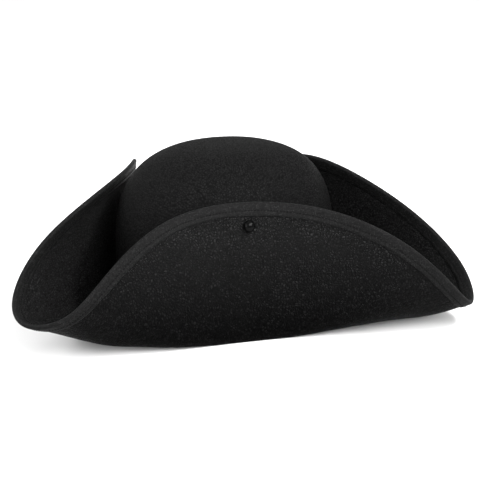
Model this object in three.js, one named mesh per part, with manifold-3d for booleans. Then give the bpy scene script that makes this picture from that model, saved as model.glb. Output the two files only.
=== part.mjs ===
// A tricorn hat: a domed crown, a wide brim cocked up into three flaps, a tape folded over the
// brim's edge, and one button near the top of the wearer's left flap.
// Millimetres, +Z up. The hat stands on a table at z = 0, its front corner towards -Y and the
// wearer's left towards +X. The origin is on the table, below the middle of the overall size.
import * as THREE from "three";
import { mergeVertices } from "three/addons/utils/BufferGeometryUtils.js";
import Module from "manifold-3d";

// Driving sizes
const WALL = 2; // felt of the crown and brim
const GAP = 0.3; // between neighbouring pieces
const CROWN_CENTRE_Y = 40.5; // the crown stands this far behind the origin
const HEAD_HALF_WIDTH = 85; // outside of the crown's oval, ear to ear
const HEAD_HALF_LENGTH = 102; // outside of the crown's oval, front to back
const HEADLINE_Z = 11; // where the brim leaves the crown
const SHOULDER_Z = 51; // the crown's side starts to round in here
const CROWN_TOP_Z = 144;
const CROWN_FORWARD = 3; // how far the middle of the top is ahead of the oval's middle
const CROWN_FULLNESS = 2.9; // power of the curve from shoulder to top, where 2 is an ellipse
const TAPE_WALL = 0.8;
const TAPE_WIDTH = 11; // on each face of the brim
const BUTTON_RADIUS = 4.8;
const BUTTON_HEIGHT = 5.4;
const BUTTON_STATION = 3.96; // just ahead of the flap's middle
const BUTTON_DROP = 18.5; // from the brim's edge down to the button's middle
const POST_RADIUS = 1.5;
const DISC_RADIUS = 4;
const DISC_WALL = 1;

// The brim's edge from the front corner round the wearer's left to the middle of the back flap.
// The other side mirrors it. bearing is in degrees from straight ahead, reach is measured out
// from the crown's middle, rise is the height over the table, and lean is the slope of the felt
// at its edge in degrees: 0 lies flat, 90 stands upright, and more leans in over the crown.
const EDGE_ROWS = [
  { bearing: 0, reach: 215, rise: 33, lean: 24 }, // front corner
  { bearing: 10.5, reach: 202, rise: 46, lean: 53 },
  { bearing: 16, reach: 168, rise: 80, lean: 104 },
  { bearing: 25.5, reach: 116, rise: 108, lean: 115 },
  { bearing: 59.5, reach: 91, rise: 116, lean: 110 }, // middle of the left flap
  { bearing: 90.5, reach: 126, rise: 108, lean: 99 },
  { bearing: 102.5, reach: 176, rise: 82, lean: 88 },
  { bearing: 111.5, reach: 205, rise: 44, lean: 60 },
  { bearing: 119.5, reach: 216, rise: 22, lean: 29 }, // back left corner
  { bearing: 129, reach: 207, rise: 39, lean: 59 },
  { bearing: 139, reach: 174, rise: 72, lean: 96 },
  { bearing: 153, reach: 132, rise: 101, lean: 112 },
  { bearing: 180, reach: 109, rise: 115, lean: 110 }, // middle of the back flap
];
const FLAP_STATIONS = 8; // rows from one corner of the whole edge to the next

// How the felt leaves the headline and reaches the edge. droop is its slope in degrees below the
// level at the headline; sill and handle are how far the curve holds its slope at either end.
const AT_CORNER = { droop: 13, sill: 52, handle: 55 };
const AT_FLAP = { droop: 70, sill: 49, handle: 56 };

// Fineness of the surfaces
const RING_STEPS = 96;
const BRIM_STEPS = 13;
const CROWN_STEPS = 12;
const CROWN_SIDES = 56;
const ROUND_SIDES = 24;
const DOME_STEPS = 6;
const RELAX_PASSES = 30;
const PROBE = 1e-3; // step for slopes, in stations or in parts of a section

const { degToRad, lerp } = THREE.MathUtils;
const wasm = await Module();
wasm.setup();

// Smooth closed curve through equally spaced values: gives its value at any station.
function smoothLoop(values) {
  const count = values.length;
  const at = (list, i) => list[((i % count) + count) % count];
  let pulls = values;
  for (let pass = 0; pass < RELAX_PASSES; pass += 1) {
    const last = pulls;
    pulls = values.map((value, i) => (6 * value - at(last, i - 1) - at(last, i + 1)) / 4);
  }
  return (t) => {
    const i = Math.floor(t);
    const f = t - i;
    const g = 1 - f;
    return (
      (g ** 3 * at(pulls, i - 1) +
        (4 - 6 * f ** 2 + 3 * f ** 3) * at(pulls, i) +
        (4 - 6 * g ** 2 + 3 * g ** 3) * at(pulls, i + 1) +
        f ** 3 * at(pulls, i + 2)) /
      6
    );
  };
}

const mirrorRows = EDGE_ROWS.slice(1, -1)
  .reverse()
  .map((row) => ({ ...row, bearing: -row.bearing }));
const allRows = [...EDGE_ROWS, ...mirrorRows];
const STATIONS = allRows.length;
const edgeX = smoothLoop(allRows.map((row) => row.reach * Math.sin(degToRad(row.bearing))));
const edgeY = smoothLoop(allRows.map((row) => -row.reach * Math.cos(degToRad(row.bearing))));
const edgeZ = smoothLoop(allRows.map((row) => row.rise));
const edgeLean = smoothLoop(allRows.map((row) => row.lean));

function edgePoint(t) {
  return new THREE.Vector3(edgeX(t), edgeY(t), edgeZ(t));
}

// A size of the section at station t, between its values at a corner and at a flap's middle.
function sectionSize(t, size) {
  const share = (1 - Math.cos((2 * Math.PI * t) / FLAP_STATIONS)) / 2;
  return lerp(AT_CORNER[size], AT_FLAP[size], share);
}

// The outer face of the brim along station t, from the headline to the edge.
function sectionCurve(t) {
  const angle = (2 * Math.PI * t) / STATIONS;
  const halfWidth = HEAD_HALF_WIDTH + GAP;
  const halfLength = HEAD_HALF_LENGTH + GAP;
  const start = new THREE.Vector3(
    halfWidth * Math.sin(angle),
    -halfLength * Math.cos(angle),
    HEADLINE_Z,
  );
  const away = new THREE.Vector3(
    Math.sin(angle) / halfWidth,
    -Math.cos(angle) / halfLength,
    0,
  ).normalize();
  const droop = degToRad(sectionSize(t, "droop"));
  const sill = sectionSize(t, "sill");
  const first = start.clone().addScaledVector(away, sill * Math.cos(droop));
  first.z -= sill * Math.sin(droop);

  const end = edgePoint(t);
  const along = edgePoint(t + PROBE).sub(edgePoint(t - PROBE)).normalize();
  const out = new THREE.Vector3(along.y, -along.x, 0).normalize();
  const up = new THREE.Vector3().crossVectors(out, along);
  const lean = degToRad(edgeLean(t));
  const handle = sectionSize(t, "handle");
  const last = end
    .clone()
    .addScaledVector(out, -handle * Math.cos(lean))
    .addScaledVector(up, -handle * Math.sin(lean));
  return new THREE.CubicBezierCurve3(start, first, last, end);
}

// A point of the outer face, v running from the headline (0) to the edge (1). The rolled
// undersides of the flaps are pressed flat where the hat stands on the table.
function outerPoint(t, v) {
  const point = sectionCurve(t).getPoint(v);
  point.z = Math.max(point.z, 0);
  return point;
}

// The way from the outer face into the felt.
function inwardAt(t, v) {
  const outwards = outerPoint(t, v + PROBE).sub(outerPoint(t, v - PROBE));
  const round = outerPoint(t + PROBE, v).sub(outerPoint(t - PROBE, v));
  return outwards.cross(round).normalize();
}

function brimPoint(t, v, depth) {
  return outerPoint(t, v).addScaledVector(inwardAt(t, v), depth);
}

// The v of a point a short way back from the edge, where the curve runs 3 handles per unit of v.
function backFromEdge(t, distance) {
  return 1 - distance / (3 * sectionSize(t, "handle"));
}

// Cross-section of the brim: outer face out to the edge, inner face back to the headline.
function brimLoop(t) {
  const tapeStart = backFromEdge(t, TAPE_WIDTH);
  const steps = Array.from({ length: BRIM_STEPS + 1 }, (_, i) => (tapeStart * i) / BRIM_STEPS);
  steps.push(backFromEdge(t, TAPE_WALL + GAP));
  const outer = steps.map((v) => brimPoint(t, v, 0));
  const inner = steps.slice(1).map((v) => brimPoint(t, v, WALL));
  // The inner end is cut upright, to lie along the crown's side.
  const upright = outer[0].clone();
  upright.z += WALL / Math.cos(degToRad(sectionSize(t, "droop")));
  return [...outer, ...inner.reverse(), upright];
}

// Cross-section of the tape: its outer leg, the fold over the edge, its inner leg, and back
// round the inside of the fold.
function tapeLoop(t) {
  const start = backFromEdge(t, TAPE_WIDTH);
  const fold = backFromEdge(t, TAPE_WALL);
  const reachOut = -GAP - TAPE_WALL;
  const reachIn = WALL + GAP + TAPE_WALL;
  return [
    brimPoint(t, start, reachOut),
    brimPoint(t, fold, reachOut),
    brimPoint(t, 1, 0),
    brimPoint(t, 1, WALL),
    brimPoint(t, fold, reachIn),
    brimPoint(t, start, reachIn),
    brimPoint(t, start, WALL + GAP),
    brimPoint(t, fold, WALL + GAP),
    brimPoint(t, fold, -GAP),
    brimPoint(t, start, -GAP),
  ];
}

// A closed ring swept through the same cross-section at every station round the hat. Each
// four-sided patch is split along its shorter diagonal.
function ringSolid(loopAt) {
  const loops = Array.from({ length: RING_STEPS }, (_, i) => loopAt((STATIONS * i) / RING_STEPS));
  const size = loops[0].length;
  const points = loops.flat();
  const index = [];
  for (let i = 0; i < RING_STEPS; i += 1) {
    const here = i * size;
    const next = ((i + 1) % RING_STEPS) * size;
    for (let j = 0; j < size; j += 1) {
      const k = (j + 1) % size;
      const [a, b, c, d] = [here + j, next + j, next + k, here + k];
      if (points[a].distanceTo(points[c]) < points[b].distanceTo(points[d])) {
        index.push(a, b, c, a, c, d);
      } else {
        index.push(a, b, d, b, c, d);
      }
    }
  }
  const positions = points.flatMap((point) => point.toArray());
  const geometry = new THREE.BufferGeometry();
  geometry.setAttribute("position", new THREE.Float32BufferAttribute(positions, 3));
  geometry.setIndex(index);
  return geometry;
}

// Half outline of one face of the crown, from its open bottom up to the middle of its top.
function crownOutline(radius, top) {
  const outline = [new THREE.Vector2(radius, HEADLINE_Z)];
  for (let i = 0; i < CROWN_STEPS; i += 1) {
    const angle = (Math.PI * i) / (2 * CROWN_STEPS);
    const across = Math.cos(angle) ** (2 / CROWN_FULLNESS);
    const up = Math.sin(angle) ** (2 / CROWN_FULLNESS);
    outline.push(new THREE.Vector2(radius * across, lerp(SHOULDER_Z, top, up)));
  }
  outline.push(new THREE.Vector2(0, top));
  return outline;
}

// A round dome stretched to the head's oval and bent a little forwards towards its top.
function crownSolid() {
  const outer = crownOutline(HEAD_HALF_WIDTH, CROWN_TOP_Z);
  const inner = crownOutline(HEAD_HALF_WIDTH - WALL, CROWN_TOP_Z - WALL);
  const geometry = new THREE.LatheGeometry([...inner.reverse(), ...outer], CROWN_SIDES);
  geometry.rotateX(Math.PI / 2);
  geometry.scale(1, HEAD_HALF_LENGTH / HEAD_HALF_WIDTH, 1);
  const position = geometry.getAttribute("position");
  for (let i = 0; i < position.count; i += 1) {
    const up = (position.getZ(i) - HEADLINE_Z) / (CROWN_TOP_Z - HEADLINE_Z);
    position.setY(i, position.getY(i) - CROWN_FORWARD * up ** 2);
  }
  return geometry;
}

// Puts a shape drawn along +Y, with y = 0 on the flap's outer face, where the button sits.
function ontoFlap(geometry) {
  const v = backFromEdge(BUTTON_STATION, BUTTON_DROP);
  const outward = inwardAt(BUTTON_STATION, v).negate();
  const turn = new THREE.Quaternion().setFromUnitVectors(new THREE.Vector3(0, 1, 0), outward);
  const place = outerPoint(BUTTON_STATION, v);
  geometry.applyQuaternion(turn);
  geometry.translate(place.x, place.y, place.z);
  return geometry;
}

// A domed head in front of the flap, a post through it and a disc behind it.
function buttonSolid() {
  const back = -WALL - GAP;
  const profile = [
    new THREE.Vector2(0, back - DISC_WALL),
    new THREE.Vector2(DISC_RADIUS, back - DISC_WALL),
    new THREE.Vector2(DISC_RADIUS, back),
    new THREE.Vector2(POST_RADIUS, back),
    new THREE.Vector2(POST_RADIUS, GAP),
    new THREE.Vector2(0.85 * BUTTON_RADIUS, GAP),
  ];
  for (let i = 0; i < DOME_STEPS; i += 1) {
    const angle = (Math.PI * i) / (2 * DOME_STEPS);
    const height = lerp(0.25, 1, Math.sin(angle)) * BUTTON_HEIGHT;
    profile.push(new THREE.Vector2(BUTTON_RADIUS * Math.cos(angle), GAP + height));
  }
  profile.push(new THREE.Vector2(0, GAP + BUTTON_HEIGHT));
  return ontoFlap(new THREE.LatheGeometry(profile, ROUND_SIDES));
}

function manifoldOf(geometry) {
  const bare = new THREE.BufferGeometry();
  bare.setAttribute("position", geometry.getAttribute("position"));
  bare.setIndex(geometry.index);
  const welded = mergeVertices(bare, 1e-4);
  return new wasm.Manifold(
    new wasm.Mesh({
      numProp: 3,
      vertProperties: welded.getAttribute("position").array,
      triVerts: new Uint32Array(welded.index.array),
    }),
  );
}

function geometryOf(manifold) {
  const mesh = manifold.getMesh();
  const geometry = new THREE.BufferGeometry();
  geometry.setAttribute("position", new THREE.Float32BufferAttribute(mesh.vertProperties, 3));
  geometry.setIndex([...mesh.triVerts]);
  return geometry;
}

// The brim with the round hole that the button's post goes through.
function brimSolid() {
  const radius = POST_RADIUS + GAP;
  const drill = ontoFlap(new THREE.CylinderGeometry(radius, radius, 4 * WALL, ROUND_SIDES));
  return geometryOf(manifoldOf(ringSolid(brimLoop)).subtract(manifoldOf(drill)));
}

function piece(name, geometry, color, roughness) {
  const material = new THREE.MeshStandardMaterial({ color, roughness, metalness: 0 });
  geometry.translate(0, CROWN_CENTRE_Y, 0);
  geometry.computeVertexNormals();
  const mesh = new THREE.Mesh(geometry, material);
  mesh.name = name;
  return mesh;
}

const hat = new THREE.Group();
hat.add(
  piece("crown", crownSolid(), 0x2a2a2b, 0.9),
  piece("brim", brimSolid(), 0x232324, 0.75),
  piece("edge_binding", ringSolid(tapeLoop), 0x303031, 0.85),
  piece("button", buttonSolid(), 0x0b0b0c, 0.15),
);

export default hat;
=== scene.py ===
# Looks of the tricorn hat: fine-grained crown, pebbled brim, stitched edge tape and a glossy
# button, in a pale studio. Sizes are in millimetres until a mesh is made, then in metres.
import math

import bmesh
import bpy
import numpy as np
from mathutils import Matrix, Vector


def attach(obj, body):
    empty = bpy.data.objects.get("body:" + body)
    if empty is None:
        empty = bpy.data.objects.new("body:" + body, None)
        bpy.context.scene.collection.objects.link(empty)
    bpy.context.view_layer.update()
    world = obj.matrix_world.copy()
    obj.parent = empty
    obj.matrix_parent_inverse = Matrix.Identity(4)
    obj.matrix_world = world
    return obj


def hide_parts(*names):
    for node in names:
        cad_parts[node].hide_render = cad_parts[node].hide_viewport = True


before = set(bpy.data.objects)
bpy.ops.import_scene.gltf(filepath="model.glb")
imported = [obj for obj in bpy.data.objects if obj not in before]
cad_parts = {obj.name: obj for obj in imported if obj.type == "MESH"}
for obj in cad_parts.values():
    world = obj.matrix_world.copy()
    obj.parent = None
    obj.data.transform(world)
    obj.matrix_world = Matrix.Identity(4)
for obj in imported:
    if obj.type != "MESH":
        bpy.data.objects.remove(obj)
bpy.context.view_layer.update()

MM = 0.001

# Sizes that the solids share
WALL = 2.0
GAP = 0.3
CROWN_CENTRE = np.array([0.0, 40.5, 0.0])
HEAD_HALF_WIDTH = 85.0
HEAD_HALF_LENGTH = 102.0
HEADLINE_Z = 11.0
SHOULDER_Z = 51.0
CROWN_TOP_Z = 144.0
CROWN_FORWARD = 3.0
CROWN_FULLNESS = 2.9
TAPE_WIDTH = 11.0
TAPE_THICK = 0.8
BUTTON_RADIUS = 4.8
BUTTON_HEIGHT = 5.4
BUTTON_STATION = 3.96
BUTTON_DROP = 18.5
POST_RADIUS = 1.5
DISC_RADIUS = 4.0
DISC_WALL = 1.0

# The brim's edge from the front corner round the wearer's left to the middle of the back flap:
# bearing in degrees, reach, rise, and lean of the felt in degrees. The other side mirrors it.
EDGE_ROWS = [
    (0, 215, 33, 24),
    (10.5, 202, 46, 53),
    (16, 168, 80, 104),
    (25.5, 116, 108, 115),
    (59.5, 91, 116, 110),
    (90.5, 126, 108, 99),
    (102.5, 176, 82, 88),
    (111.5, 205, 44, 60),
    (119.5, 216, 22, 29),
    (129, 207, 39, 59),
    (139, 174, 72, 96),
    (153, 132, 101, 112),
    (180, 109, 115, 110),
]
FLAP_STATIONS = 8
AT_CORNER = {"droop": 13, "sill": 52, "handle": 55}
AT_FLAP = {"droop": 70, "sill": 49, "handle": 56}

# Soft dents in the left flap: station, v, half length in stations, half height in v, depth
DENTS = [
    (4.9, 0.66, 0.35, 0.035, 0.8),
    (5.3, 0.60, 0.30, 0.030, 0.7),
    (5.0, 0.52, 0.40, 0.035, 0.8),
    (3.3, 0.56, 0.45, 0.060, 0.7),
    (4.3, 0.74, 0.30, 0.040, 0.5),
]

# Waves in the hand-shaped dome: lobes round it, phase, twist from headline to top, and size
CROWN_WAVES = [(3, 1.0, 0, 0.35), (5, 0.0, 9, 0.245)]

# The brim's felt stops this far short of its edge, inside the tape's fold
BRIM_STOP = 1.8

# Tape round the felt's edge. Its hem is rounded over HEM_WIDTH: each row is a distance in from the
# rim and a share of the thickness.
FELT_MIDDLE = WALL / 2
FOLD_RADIUS = FELT_MIDDLE + GAP + TAPE_THICK
HEM_WIDTH = 2.4
HEM_ROWS = [(0.0, 0.0), (0.0, 0.25), (0.25, 0.55), (0.8, 0.8), (1.6, 0.95)]
HEM_INSIDE = 0.2
TAPE_OFF_FELT = 0.1

# How far the tape strays, sideways at its hem and outwards on its face
HEM_WANDER = 0.16
HEM_SEED = 3
TAPE_PUFF = 0.10
PUFF_SEED = 5

# Stitches, and the channel that they pull into the tape
STITCH_PULL = 0.12
STITCH_FROM_EDGE = 7.0
STITCH_PITCH = 2.6
STITCH_LENGTH = 1.6
STITCH_WIDTH = 0.90
STITCH_FULLNESS = 2.5
CHANNEL_HALF_WIDTH = 0.9

# Button: roundness of its dome, the upright share of its height, and its underside as share of
# the radius and height over the felt
BUTTON_FULLNESS = 2.4
BUTTON_UPRIGHT = 0.12
UNDERSIDE_ROWS = [(0.8, 0.1), (0.93, 0.35)]
DISC_BACK_ROUND = 0.3
DISC_FRONT_ROUND = 0.2

# Felt: the crevice round a grain, the fibres, and the ripple that bends the grains, all in shares
# of a grain. Then how far the fibres rise beside the grains, and the size of patches in its tone.
CREVICE_WIDTH = 0.3
FIBRE_SIZE = 0.3
RIPPLE_SIZE = 1.3
RIPPLE_SHIFT = 0.9
FIBRE_RISE = 0.3
PATCH_SIZE = 22

# Heights between which the flaps' colour turns from painted shade at the bottom to full tone, and their
# coat gloss rises
SHADE_AND_GLOSS_FROM = 10
SHADE_AND_GLOSS_TO = 90

# Range that most of a noise pattern falls in
NOISE_SPAN = (0.3, 0.7)

# Camera: the photograph's direction, distance and framing, in degrees, millimetres and pixels
CAMERA_BEARING = 46.16
CAMERA_HEIGHT_ANGLE = 16.94
CAMERA_DISTANCE = 1200.0
CAMERA_FOCAL_PX = 1357.4
CAMERA_AIM_RIGHT = 11.98
CAMERA_AIM_UP = 54.59
PHOTO_PX = 480
SENSOR = 36

# Studio, in metres
FLOOR_SIZE = 30
FLOOR_Z = -0.0005
HAT_MIDDLE = (0, 0.04, 0.06)
BEHIND_HAT = (-2.2, 2.2, 0.3)

# Fineness of the meshes
BRIM_ROUND = 480
BRIM_ACROSS = 64
TAPE_ROUND = 1200
TAPE_ACROSS = 12
FOLD_STEPS = 20
STITCH_ALONG = 7
STITCH_SIDES = 8
SEAM_STEPS = 6000
CROWN_ROUND = 256
CROWN_UP = 90
CURVE_STEPS = 400
BUTTON_ROUND = 48
DOME_STEPS = 20

# Step for slopes, in stations or in parts of a section, and the gap in metres that a weld closes
PROBE = 1e-3
WELD = 1e-6

# The brim's surface
mirror_rows = [(-bearing, reach, rise, lean) for bearing, reach, rise, lean in EDGE_ROWS[-2:0:-1]]
all_rows = np.array(EDGE_ROWS + mirror_rows, dtype=float)
STATIONS = len(all_rows)


def smooth_loop(values):
    """Smooth closed curve through equally spaced values: gives its value at any station."""
    count = len(values)
    ones = np.eye(count)
    weights = 4 * ones + np.roll(ones, 1, axis=0) + np.roll(ones, -1, axis=0)
    pulls = np.linalg.solve(weights, 6 * values)

    def value_at(t):
        i = np.floor(t).astype(int)
        f = t - i
        g = 1 - f
        return (
            g**3 * pulls[(i - 1) % count]
            + (4 - 6 * f**2 + 3 * f**3) * pulls[i % count]
            + (4 - 6 * g**2 + 3 * g**3) * pulls[(i + 1) % count]
            + f**3 * pulls[(i + 2) % count]
        ) / 6

    return value_at


bearings = np.radians(all_rows[:, 0])
edge_x = smooth_loop(all_rows[:, 1] * np.sin(bearings))
edge_y = smooth_loop(-all_rows[:, 1] * np.cos(bearings))
edge_z = smooth_loop(all_rows[:, 2])
edge_lean = smooth_loop(np.radians(all_rows[:, 3]))


def unit(vectors):
    """The same directions with length 1."""
    return vectors / np.linalg.norm(vectors, axis=-1, keepdims=True)


def edge_point(t):
    """Point of the brim's edge at station t."""
    return np.stack([edge_x(t), edge_y(t), edge_z(t)], axis=-1)


def section_size(t, size):
    """A size of the section at station t, between its values at a corner and mid flap."""
    share = (1 - np.cos(2 * np.pi * t / FLAP_STATIONS)) / 2
    return AT_CORNER[size] + (AT_FLAP[size] - AT_CORNER[size]) * share


def outer_point(t, v):
    """Outer face of the brim at station t, v running from headline (0) to edge (1)."""
    t, v = np.broadcast_arrays(np.asarray(t, dtype=float), np.asarray(v, dtype=float))
    angle = 2 * np.pi * t / STATIONS
    half_width = HEAD_HALF_WIDTH + GAP
    half_length = HEAD_HALF_LENGTH + GAP
    level = np.zeros_like(t)
    headline = np.full_like(t, HEADLINE_Z)
    start = np.stack([half_width * np.sin(angle), -half_length * np.cos(angle), headline], -1)
    away = unit(np.stack([np.sin(angle) / half_width, -np.cos(angle) / half_length, level], -1))
    droop = np.radians(section_size(t, "droop"))[..., None]
    sill = section_size(t, "sill")[..., None]
    first = start + sill * (np.cos(droop) * away - np.sin(droop) * np.array([0.0, 0.0, 1.0]))

    end = edge_point(t)
    along = unit(edge_point(t + PROBE) - edge_point(t - PROBE))
    out = unit(np.stack([along[..., 1], -along[..., 0], level], -1))
    up = np.cross(out, along)
    lean = edge_lean(t)[..., None]
    handle = section_size(t, "handle")[..., None]
    last = end - handle * (np.cos(lean) * out + np.sin(lean) * up)

    v = v[..., None]
    w = 1 - v
    point = w**3 * start + 3 * w**2 * v * first + 3 * w * v**2 * last + v**3 * end
    point[..., 2] = np.maximum(point[..., 2], 0)
    return point


def inward(t, v):
    """The way from the outer face into the felt."""
    outwards = outer_point(t, v + PROBE) - outer_point(t, v - PROBE)
    around = outer_point(t + PROBE, v) - outer_point(t - PROBE, v)
    return unit(np.cross(outwards, around))


def dent_depth(t, v):
    """How far the soft dents press the felt in."""
    depth = np.zeros(np.broadcast(t, v).shape)
    for station, place, half_length, half_height, deep in DENTS:
        depth += deep * np.exp(-(((t - station) / half_length) ** 2) - ((v - place) / half_height) ** 2)
    return depth


def brim_point(t, v, depth):
    """Point of the dented brim at a depth below its outer face, or above it if negative."""
    t, v = np.broadcast_arrays(np.asarray(t, dtype=float), np.asarray(v, dtype=float))
    shift = depth + dent_depth(t, v)
    return outer_point(t, v) + inward(t, v) * shift[..., None]


def back_from_edge(t, distance):
    """The v of a point at a short distance in from the brim's edge."""
    return 1 - distance / (3 * section_size(t, "handle"))


def wander(t, seed, waves, slowest):
    """Smooth, uneven sum of waves round the whole edge, about -1 to 1."""
    dice = np.random.default_rng(seed)
    total = np.zeros_like(np.asarray(t, dtype=float))
    for wave in range(waves):
        turns = slowest + int(dice.integers(4, 12)) * wave
        total += np.sin(2 * np.pi * turns * t / STATIONS + dice.uniform(0, 2 * np.pi))
    return total / math.sqrt(waves)


def running_length(steps):
    """Length along a line at each of its points, from the lengths of its steps."""
    return np.concatenate([[0], np.cumsum(steps)])


# Meshes
def make_object(name, points, faces, material):
    """A piece of the hat, from points in millimetres counted from CROWN_CENTRE."""
    mesh = bpy.data.meshes.new(name)
    mesh.from_pydata(((points + CROWN_CENTRE) * MM).tolist(), [], faces)
    mesh.update()
    mesh.polygons.foreach_set("use_smooth", [True] * len(mesh.polygons))
    mesh.materials.append(material)
    obj = bpy.data.objects.new(name, mesh)
    bpy.context.scene.collection.objects.link(obj)
    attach(obj, "root")
    return obj


def grid_faces(rows, columns, closed_rows=True, closed_columns=True):
    """Four-sided faces of a grid of points, row after row, that may close on itself."""
    i, j = np.meshgrid(
        np.arange(rows if closed_rows else rows - 1),
        np.arange(columns if closed_columns else columns - 1),
        indexing="ij",
    )
    next_i = (i + 1) % rows
    next_j = (j + 1) % columns
    corners = [i * columns + j, next_i * columns + j, next_i * columns + next_j, i * columns + next_j]
    return np.stack(corners, -1).reshape(-1, 4).tolist()


def ring_object(name, loops, material, closed_columns=True):
    """A ring from an array of cross-sections (round, across, 3)."""
    faces = grid_faces(*loops.shape[:2], closed_columns=closed_columns)
    return make_object(name, loops.reshape(-1, 3), faces, material)


def weld_poles(obj):
    """Merges the points that fall together where a round surface meets its axis."""
    shape = bmesh.new()
    shape.from_mesh(obj.data)
    bmesh.ops.remove_doubles(shape, verts=shape.verts, dist=WELD)
    shape.to_mesh(obj.data)
    shape.free()


def make_brim(outside, inside):
    """The cocked brim, with the smoother side of its felt on the inner face."""
    t = np.linspace(0, STATIONS, BRIM_ROUND, endpoint=False)[:, None]
    v = np.linspace(0, 1, BRIM_ACROSS)[None, :] * back_from_edge(t, BRIM_STOP)
    outer = brim_point(t, v, 0.0)
    inner = brim_point(t, v, WALL)
    # At the headline the wall is cut upright, beside the crown.
    droop = np.radians(section_size(t[:, 0], "droop"))
    inner[:, 0] = outer[:, 0]
    inner[:, 0, 2] += WALL / np.cos(droop)
    brim = ring_object("brim_shell", np.concatenate([outer, inner[:, ::-1]], axis=1), outside)
    brim.data.materials.append(inside)
    column = np.arange(len(brim.data.polygons)) % (2 * BRIM_ACROSS)
    brim.data.polygons.foreach_set("material_index", (column >= BRIM_ACROSS).astype(int))
    return brim


def tape_outline():
    """The tape's section: distances from the brim's edge and heights over the felt's middle."""
    hem = [(TAPE_WIDTH - inwards, share) for inwards, share in HEM_ROWS]
    leg = [(d, 1.0) for d in np.linspace(TAPE_WIDTH - HEM_WIDTH, FOLD_RADIUS, TAPE_ACROSS)]
    half = [(d, FELT_MIDDLE + GAP + TAPE_THICK * share) for d, share in hem + leg]
    angles = np.linspace(0, math.pi, FOLD_STEPS + 1)[1:-1]
    fold = [(FOLD_RADIUS * (1 - math.sin(a)), FOLD_RADIUS * math.cos(a)) for a in angles]
    near_felt = FELT_MIDDLE + TAPE_OFF_FELT
    inside = [(TAPE_WIDTH - HEM_INSIDE, near_felt), (FOLD_RADIUS, near_felt)]
    outline = [(d, -up) for d, up in half + fold] + half[::-1]
    outline += inside + [(d, -up) for d, up in reversed(inside)]
    return np.array(outline).T[:, None, :]


def make_tape(material):
    """Tape with a rounded fold over the edge, soft hems and a shallow channel for the stitches."""
    t = np.linspace(0, STATIONS, TAPE_ROUND, endpoint=False)[:, None]
    distance, height = tape_outline()
    on_leg = np.clip((distance - FOLD_RADIUS) / (TAPE_WIDTH - FOLD_RADIUS), 0, 1)
    distance = distance + on_leg * HEM_WANDER * wander(t, HEM_SEED, waves=7, slowest=11)
    channel = np.exp(-(((distance - STITCH_FROM_EDGE) / CHANNEL_HALF_WIDTH) ** 2))
    puff = TAPE_PUFF * wander(t, PUFF_SEED, waves=9, slowest=40) * on_leg
    outer_side = np.abs(height) > FELT_MIDDLE + GAP
    height = height + np.sign(height) * outer_side * (puff - STITCH_PULL * channel)
    loops = brim_point(t, back_from_edge(t, distance), FELT_MIDDLE + height)
    return ring_object("edge_tape", loops, material)


def stitch_shape():
    """A short rounded thread along X, standing half out of the tape along Z."""
    x = np.linspace(-1, 1, STITCH_ALONG)[:, None]
    angle = np.linspace(0, 2 * np.pi, STITCH_SIDES, endpoint=False)[None, :]
    radius = (1 - np.abs(x) ** STITCH_FULLNESS) * np.ones_like(angle)
    radius = np.sqrt(radius) * STITCH_WIDTH / 2
    points = np.stack([
        np.broadcast_to(x * STITCH_LENGTH / 2, radius.shape),
        radius * np.cos(angle),
        radius * np.sin(angle),
    ], -1)
    return points.reshape(-1, 3), np.array(grid_faces(STITCH_ALONG, STITCH_SIDES, closed_rows=False))


def make_stitches(material):
    """One line of machine stitches on each face of the tape, evenly spaced along it."""
    fine = np.linspace(0, STATIONS, SEAM_STEPS)
    shape, shape_faces = stitch_shape()
    points = []
    faces = []
    for side in (-1, 1):
        depth = FELT_MIDDLE + side * (FOLD_RADIUS - STITCH_PULL)
        line = brim_point(fine, back_from_edge(fine, STITCH_FROM_EDGE), depth)
        length = running_length(np.linalg.norm(np.diff(line, axis=0), axis=1))
        count = int(length[-1] / STITCH_PITCH)
        places = np.interp(np.arange(count) * length[-1] / count, length, fine)
        v = back_from_edge(places, STITCH_FROM_EDGE)
        middles = brim_point(places, v, depth)
        along = unit(brim_point(places + PROBE, v, depth) - middles)
        out = inward(places, v) * side
        turns = np.stack([along, np.cross(out, along), out], axis=1)
        for middle, turn in zip(middles, turns):
            faces += (shape_faces + len(points) * len(shape)).tolist()
            points.append(middle + shape @ turn)
    return make_object("stitches", np.concatenate(points), faces, material)


def crown_profile(radius, top):
    """Evenly spaced half outline of one face of the crown, from its open bottom to its top."""
    angle = np.linspace(0, math.pi / 2, CURVE_STEPS)
    across = radius * np.cos(angle) ** (2 / CROWN_FULLNESS)
    up = SHOULDER_Z + (top - SHOULDER_Z) * np.sin(angle) ** (2 / CROWN_FULLNESS)
    across = np.concatenate([[radius], across])
    up = np.concatenate([[HEADLINE_Z], up])
    length = running_length(np.hypot(np.diff(across), np.diff(up)))
    even = np.linspace(0, length[-1], CROWN_UP)
    outline = np.stack([np.interp(even, length, across), np.interp(even, length, up)], -1)
    outline[-1] = (0, top)
    return outline


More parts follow.
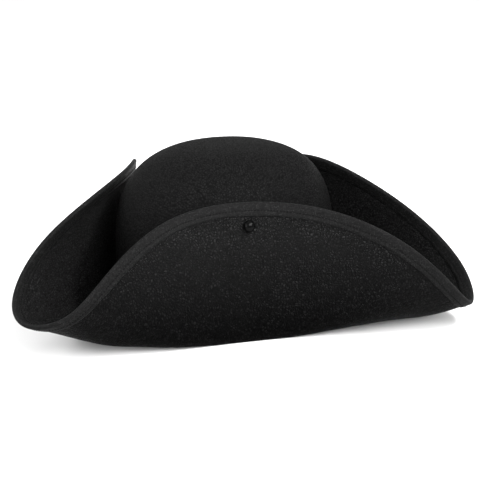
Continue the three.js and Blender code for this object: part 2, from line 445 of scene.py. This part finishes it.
def make_crown(material):
    """The domed crown, one wall open below."""
    outer = crown_profile(HEAD_HALF_WIDTH, CROWN_TOP_Z)
    inner = crown_profile(HEAD_HALF_WIDTH - WALL, CROWN_TOP_Z - WALL)
    radius, height = np.concatenate([outer, inner[::-1]]).T[:, None, :]
    angle = np.linspace(0, 2 * np.pi, CROWN_ROUND, endpoint=False)[:, None]
    up = (height - HEADLINE_Z) / (CROWN_TOP_Z - HEADLINE_Z)
    # The waves fade out towards the middle of the top and the upright side.
    bend = 0
    for lobes, phase, twist, size in CROWN_WAVES:
        bend = bend + size * up * np.sin(lobes * angle + phase + twist * up)
    radius = radius + bend * np.sin(np.pi * np.clip(radius / HEAD_HALF_WIDTH, 0, 1))
    stretch = HEAD_HALF_LENGTH / HEAD_HALF_WIDTH
    loops = np.stack([
        radius * np.sin(angle),
        -radius * np.cos(angle) * stretch - CROWN_FORWARD * up**2,
        np.broadcast_to(height, radius.shape),
    ], -1)
    crown = ring_object("crown_shell", loops, material)
    weld_poles(crown)
    return crown


def button_profile():
    """Radius and height over the felt, from the middle of the disc's back to the dome's top."""
    front = -WALL - GAP
    back = front - DISC_WALL
    profile = [
        (0, back),
        (DISC_RADIUS - DISC_BACK_ROUND, back),
        (DISC_RADIUS, back + DISC_BACK_ROUND),
        (DISC_RADIUS, front - DISC_FRONT_ROUND),
        (DISC_RADIUS - DISC_FRONT_ROUND, front),
        (POST_RADIUS, front),
        (POST_RADIUS, UNDERSIDE_ROWS[0][1]),
    ]
    profile += [(share * BUTTON_RADIUS, up) for share, up in UNDERSIDE_ROWS]
    for angle in np.linspace(0, math.pi / 2, DOME_STEPS):
        across = math.cos(angle) ** (2 / BUTTON_FULLNESS)
        up = BUTTON_UPRIGHT + (1 - BUTTON_UPRIGHT) * math.sin(angle) ** (2 / BUTTON_FULLNESS)
        profile.append((BUTTON_RADIUS * across, GAP + BUTTON_HEIGHT * up))
    profile[-1] = (0, GAP + BUTTON_HEIGHT)
    return np.array(profile)


def make_button(material):
    """Polished dome with a narrow rim, on a post through the flap with a disc behind it."""
    v = back_from_edge(BUTTON_STATION, BUTTON_DROP)
    place = brim_point(BUTTON_STATION, v, 0.0)
    out = -inward(BUTTON_STATION, v)
    side = unit(np.cross(out, [0.0, 0.0, 1.0]))
    over = np.cross(side, out)
    angle = np.linspace(0, 2 * np.pi, BUTTON_ROUND, endpoint=False)[:, None, None]
    radius, height = button_profile().T[:, None, :, None]
    loops = place + radius * (np.cos(angle) * side + np.sin(angle) * over) + height * out
    button = ring_object("button_head", loops, material, closed_columns=False)
    weld_poles(button)
    return button


# Materials
class Shader:
    """A material's node tree with short calls for the nodes that the hat needs."""

    def __init__(self, name):
        self.material = bpy.data.materials.new(name)
        self.material.use_nodes = True
        self.tree = self.material.node_tree
        self.surface = self.tree.nodes["Principled BSDF"]
        self.place = self.tree.nodes.new("ShaderNodeTexCoord").outputs["Object"]

    def set(self, **values):
        """Sets plain numbers and colours on the shader's own sockets."""
        for name, value in values.items():
            self.surface.inputs[name.replace("_", " ")].default_value = value

    def link(self, output, target):
        """Links an output to a socket, or to the shader's socket of that name."""
        if isinstance(target, str):
            target = self.surface.inputs[target]
        self.tree.links.new(output, target)

    def height(self):
        """Height over the table, in metres."""
        axes = self.tree.nodes.new("ShaderNodeSeparateXYZ")
        self.link(self.place, axes.inputs["Vector"])
        return axes.outputs["Z"]

    def noise(self, size_mm, detail=2.0, roughness=0.5):
        """Cloudy pattern, 0 to 1, with patches about size_mm across."""
        node = self.tree.nodes.new("ShaderNodeTexNoise")
        node.inputs["Scale"].default_value = 1 / (size_mm * MM)
        node.inputs["Detail"].default_value = detail
        node.inputs["Roughness"].default_value = roughness
        self.link(self.place, node.inputs["Vector"])
        return node.outputs["Fac"]

    def grains(self, size_mm):
        """Uneven grains about size_mm across: each one's own tone, and the way to its border."""
        ripple = self.tree.nodes.new("ShaderNodeTexNoise")
        ripple.inputs["Scale"].default_value = 1 / (RIPPLE_SIZE * size_mm * MM)
        self.link(self.place, ripple.inputs["Vector"])
        bend = self.tree.nodes.new("ShaderNodeVectorMath")
        bend.operation = "MULTIPLY_ADD"
        bend.inputs[1].default_value = [RIPPLE_SHIFT * size_mm * MM] * 3
        self.link(ripple.outputs["Color"], bend.inputs[0])
        self.link(self.place, bend.inputs[2])
        found = []
        for feature, output in (("F1", "Color"), ("DISTANCE_TO_EDGE", "Distance")):
            node = self.tree.nodes.new("ShaderNodeTexVoronoi")
            node.feature = feature
            node.inputs["Scale"].default_value = 1 / (size_mm * MM)
            self.link(bend.outputs["Vector"], node.inputs["Vector"])
            found.append(node.outputs[output])
        return found

    def spread(self, value, span, onto=(0, 1), rounded=False):
        """Moves a value from one range onto another, with rounded ends if asked."""
        node = self.tree.nodes.new("ShaderNodeMapRange")
        node.interpolation_type = "SMOOTHSTEP" if rounded else "LINEAR"
        node.inputs["From Min"].default_value = span[0]
        node.inputs["From Max"].default_value = span[1]
        node.inputs["To Min"].default_value = onto[0]
        node.inputs["To Max"].default_value = onto[1]
        self.link(value, node.inputs["Value"])
        return node.outputs["Result"]

    def combine(self, operation, first, second):
        """One step of arithmetic on two values, each an output or a plain number."""
        node = self.tree.nodes.new("ShaderNodeMath")
        node.operation = operation
        for socket, value in zip(node.inputs, (first, second)):
            if isinstance(value, (int, float)):
                socket.default_value = value
            else:
                self.link(value, socket)
        return node.outputs["Value"]

    def paint(self, value, dark, light):
        """Colours the surface from dark to light grey as value goes from 0 to 1."""
        node = self.tree.nodes.new("ShaderNodeValToRGB")
        node.color_ramp.elements[0].color = (dark, dark, dark, 1)
        node.color_ramp.elements[1].color = (light, light, light, 1)
        self.link(value, node.inputs["Fac"])
        self.link(node.outputs["Color"], "Base Color")

    def bump(self, height, depth_mm, strength):
        """Raises the surface by up to depth_mm as height goes from 0 to 1, in its shading only."""
        node = self.tree.nodes.new("ShaderNodeBump")
        node.inputs["Distance"].default_value = depth_mm * MM
        node.inputs["Strength"].default_value = strength
        self.link(height, node.inputs["Height"])
        self.link(node.outputs["Normal"], "Normal")
        self.link(node.outputs["Normal"], "Coat Normal")


def felt(name, grain_mm, relief_mm, tones, roughness, specular, evenness, painted_shade_and_gloss=None):
    """Matte black felt pressed into fine grains, each with its own tone, height and gloss.

    The last argument gives the tone at the bottom of the flaps and the coat gloss at their
    top: the colour is painted darker towards the bottom, a painted shade, and the coat gloss
    rises with height.
    """
    shader = Shader(name)
    own_tone, border = shader.grains(grain_mm)
    crevice = shader.spread(border, (0, CREVICE_WIDTH), rounded=True)
    fibre = shader.noise(FIBRE_SIZE * grain_mm, detail=3.0, roughness=0.65)
    patches = shader.spread(shader.noise(PATCH_SIZE, detail=3.0), NOISE_SPAN, onto=(0.8, 1))
    pick = shader.spread(own_tone, (0.4, 0.7), onto=(evenness, 1))
    top = shader.combine("MULTIPLY", crevice, pick)
    relief = shader.combine("ADD", top, shader.combine("MULTIPLY", fibre, FIBRE_RISE))
    # The tone follows the grain's height: the crevices between grains are painted darker, a painted
    # shade, over each grain's own tone and the random patches.
    tone = shader.combine("MULTIPLY", top, patches)
    if painted_shade_and_gloss:
        painted_shade_tone, shine = painted_shade_and_gloss
        # Painted shade: the colour darkens towards the bottom of the flaps; the coat gloss rises with
        # height.
        shade_and_gloss_mask = shader.spread(shader.height(), (SHADE_AND_GLOSS_FROM * MM, SHADE_AND_GLOSS_TO * MM))
        tone = shader.combine("MULTIPLY", tone, shader.spread(shade_and_gloss_mask, (0, 1), onto=(painted_shade_tone, 1)))
        shader.link(shader.combine("MULTIPLY", shade_and_gloss_mask, shine), "Coat Weight")
        shader.set(Coat_Roughness=0.26)
    shader.paint(tone, *tones)
    shader.link(shader.spread(relief, (0.2, 1.2), onto=roughness[::-1]), "Roughness")
    shader.bump(relief, relief_mm, strength=1.0)
    shader.set(Specular_IOR_Level=specular)
    return shader.material


def thread():
    """Dull black sewing thread, with its fibres in tone and relief."""
    shader = Shader("thread")
    fibre = shader.noise(0.25, detail=2.0)
    shader.paint(shader.spread(fibre, NOISE_SPAN), dark=0.0016, light=0.0030)
    shader.link(shader.spread(fibre, NOISE_SPAN, onto=(0.5, 0.7)), "Roughness")
    shader.bump(fibre, depth_mm=0.05, strength=0.6)
    shader.set(Specular_IOR_Level=0.004)
    return shader.material


def polished_button():
    """Black polished resin, with faint rub marks in its gloss."""
    shader = Shader("button_gloss")
    marks = shader.noise(0.6, detail=4.0, roughness=0.7)
    shader.paint(shader.spread(marks, NOISE_SPAN), dark=0.0005, light=0.001)
    shader.link(shader.spread(marks, (0.35, 0.75), onto=(0.10, 0.18)), "Roughness")
    shader.bump(marks, depth_mm=0.01, strength=0.2)
    shader.set(Specular_IOR_Level=0.055)
    return shader.material


crown_felt = felt(
    "crown_felt",
    grain_mm=1.9,
    relief_mm=0.22,
    tones=(0.0012, 0.0060),
    roughness=(0.45, 0.65),
    specular=0.013,
    evenness=0.83,
)
brim_felt = felt(
    "brim_felt",
    grain_mm=2.0,
    relief_mm=1.20,
    tones=(0.0002, 0.0111),
    roughness=(0.25, 0.45),
    specular=0.010,
    evenness=0.26,
    # tone at the bottom of the flaps, a painted shade, and coat gloss at their top
    painted_shade_and_gloss=(0.36, 0.10),
)
# The inner face: the smoother side of the felt, its tone painted paler than the outer face's, a painted
# light in the shaded inside of the flaps.
brim_inside = felt(
    "brim_inside",
    grain_mm=1.9,
    relief_mm=0.35,
    tones=(0.0020, 0.0128),
    roughness=(0.60, 0.80),
    specular=0.010,
    evenness=0.64,
)
tape_weave = felt(
    "tape_weave",
    grain_mm=1.1,
    relief_mm=0.18,
    tones=(0.0026, 0.0126),
    roughness=(0.36, 0.52),
    specular=0.018,
    evenness=0.38,
)

# The hat
crown = make_crown(crown_felt)
brim = make_brim(brim_felt, brim_inside)
tape = make_tape(tape_weave)
stitches = make_stitches(thread())
button = make_button(polished_button())
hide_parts("crown")
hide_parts("brim")
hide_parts("edge_binding")
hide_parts("button")

# Floor
bpy.ops.mesh.primitive_plane_add(size=FLOOR_SIZE, location=(0, 0, FLOOR_Z))
floor = bpy.context.object
floor.name = "floor"
floor_shader = Shader("floor")
floor_shader.set(Base_Color=(0.55, 0.55, 0.55, 1), Roughness=0.9, Specular_IOR_Level=0.1)
floor.data.materials.append(floor_shader.material)

# Light
world = bpy.data.worlds.new("studio")
world.use_nodes = True
world.node_tree.nodes["Background"].inputs["Color"].default_value = (1, 1, 1, 1)
world.node_tree.nodes["Background"].inputs["Strength"].default_value = 1.0
bpy.context.scene.world = world


def direction(bearing, height_angle):
    """The way from the hat to a bearing from straight ahead and a height, in degrees."""
    around = math.radians(bearing)
    above = math.radians(height_angle)
    level = math.cos(above)
    return Vector((level * math.sin(around), -level * math.cos(around), math.sin(above)))


def softbox(name, bearing, height_angle, distance, size, watts, aim=HAT_MIDDLE, mirrored=True):
    """Square light at a bearing from the camera's, mirrored in glossy surfaces or not."""
    data = bpy.data.lights.new(name, "AREA")
    data.size = size
    data.energy = watts
    light = bpy.data.objects.new(name, data)
    light.location = Vector(HAT_MIDDLE) + distance * direction(CAMERA_BEARING + bearing, height_angle)
    light.visible_glossy = mirrored
    light.rotation_euler = (Vector(aim) - light.location).to_track_quat("-Z", "Y").to_euler()
    bpy.context.scene.collection.objects.link(light)


softbox("key", bearing=28, height_angle=36, distance=1.5, size=0.8, watts=36)
softbox("key_high", bearing=60, height_angle=50, distance=1.5, size=0.22, watts=30)
softbox("low_key", bearing=18, height_angle=6, distance=1.5, size=1.0, watts=28, mirrored=False)
softbox("low_left", bearing=-45, height_angle=20, distance=1.5, size=0.8, watts=15)
softbox("left", bearing=-100, height_angle=30, distance=1.5, size=0.8, watts=18)
softbox("back", bearing=180, height_angle=60, distance=1.8, size=1.2, watts=10)
softbox("floor_wash", bearing=180, height_angle=64, distance=1.6, size=0.8, watts=40, aim=BEHIND_HAT)

# Camera
bearing = math.radians(CAMERA_BEARING)
back = direction(CAMERA_BEARING, CAMERA_HEIGHT_ANGLE)
right = Vector((math.cos(bearing), math.sin(bearing), 0))
up = back.cross(right)
aim = Vector(CROWN_CENTRE) + right * CAMERA_AIM_RIGHT + up * CAMERA_AIM_UP
camera_data = bpy.data.cameras.new("camera")
camera_data.sensor_width = SENSOR
camera_data.lens = SENSOR * CAMERA_FOCAL_PX / PHOTO_PX
camera_data.clip_end = 100
camera = bpy.data.objects.new("camera", camera_data)
turn = Matrix((right, up, back)).transposed().to_4x4()
camera.matrix_world = Matrix.Translation((aim + back * CAMERA_DISTANCE) * MM) @ turn
bpy.context.scene.collection.objects.link(camera)
bpy.context.scene.camera = camera
bpy.context.scene.view_settings.view_transform = "Standard"
